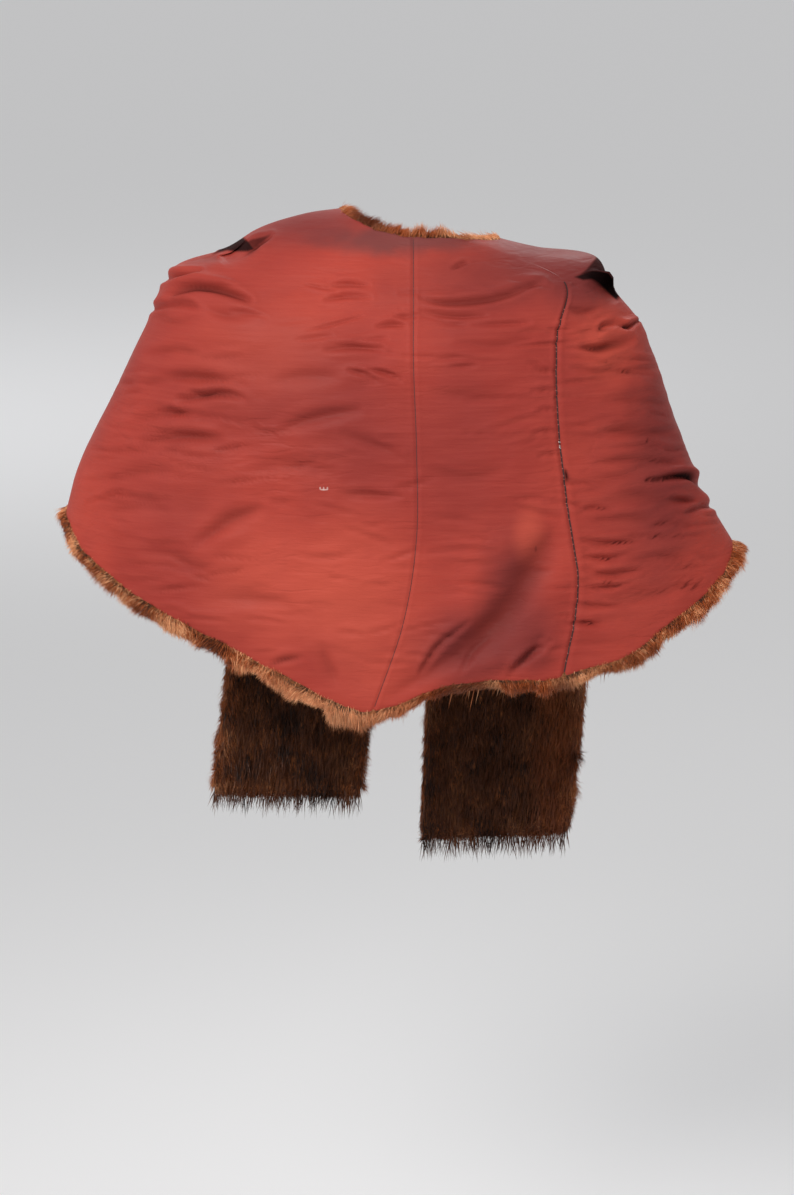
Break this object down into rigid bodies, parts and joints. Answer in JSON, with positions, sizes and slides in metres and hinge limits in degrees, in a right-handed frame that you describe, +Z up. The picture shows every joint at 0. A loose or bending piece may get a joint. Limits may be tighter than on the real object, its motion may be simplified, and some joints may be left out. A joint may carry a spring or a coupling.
{
  "type": "fur capelet",
  "caption": "Short fur capelet worn inside out: rust-red satin lining outside, red-brown fur inside and at every edge, two long front panels at the rear.",
  "frame": {"origin": "the middle of the neck opening at shoulder height, where the garment is held", "axes": "+Z up; -Y is the side that faces the viewer, with the garment's own back; +X is the viewer's right"},
  "size_m": [0.692, 0.285, 0.7044],
  "materials": {
    "lining": "fine ribbed satin, low sheen",
    "fur": "long soft pile"
  },
  "bodies": {
    "root": {"lining_back_left": "lining", "lining_back_right": "lining", "lining_front_left": "lining", "lining_front_right": "lining", "fur_back": "fur", "fur_front_left": "fur", "fur_front_right": "fur"}
  },
  "joints": []
}
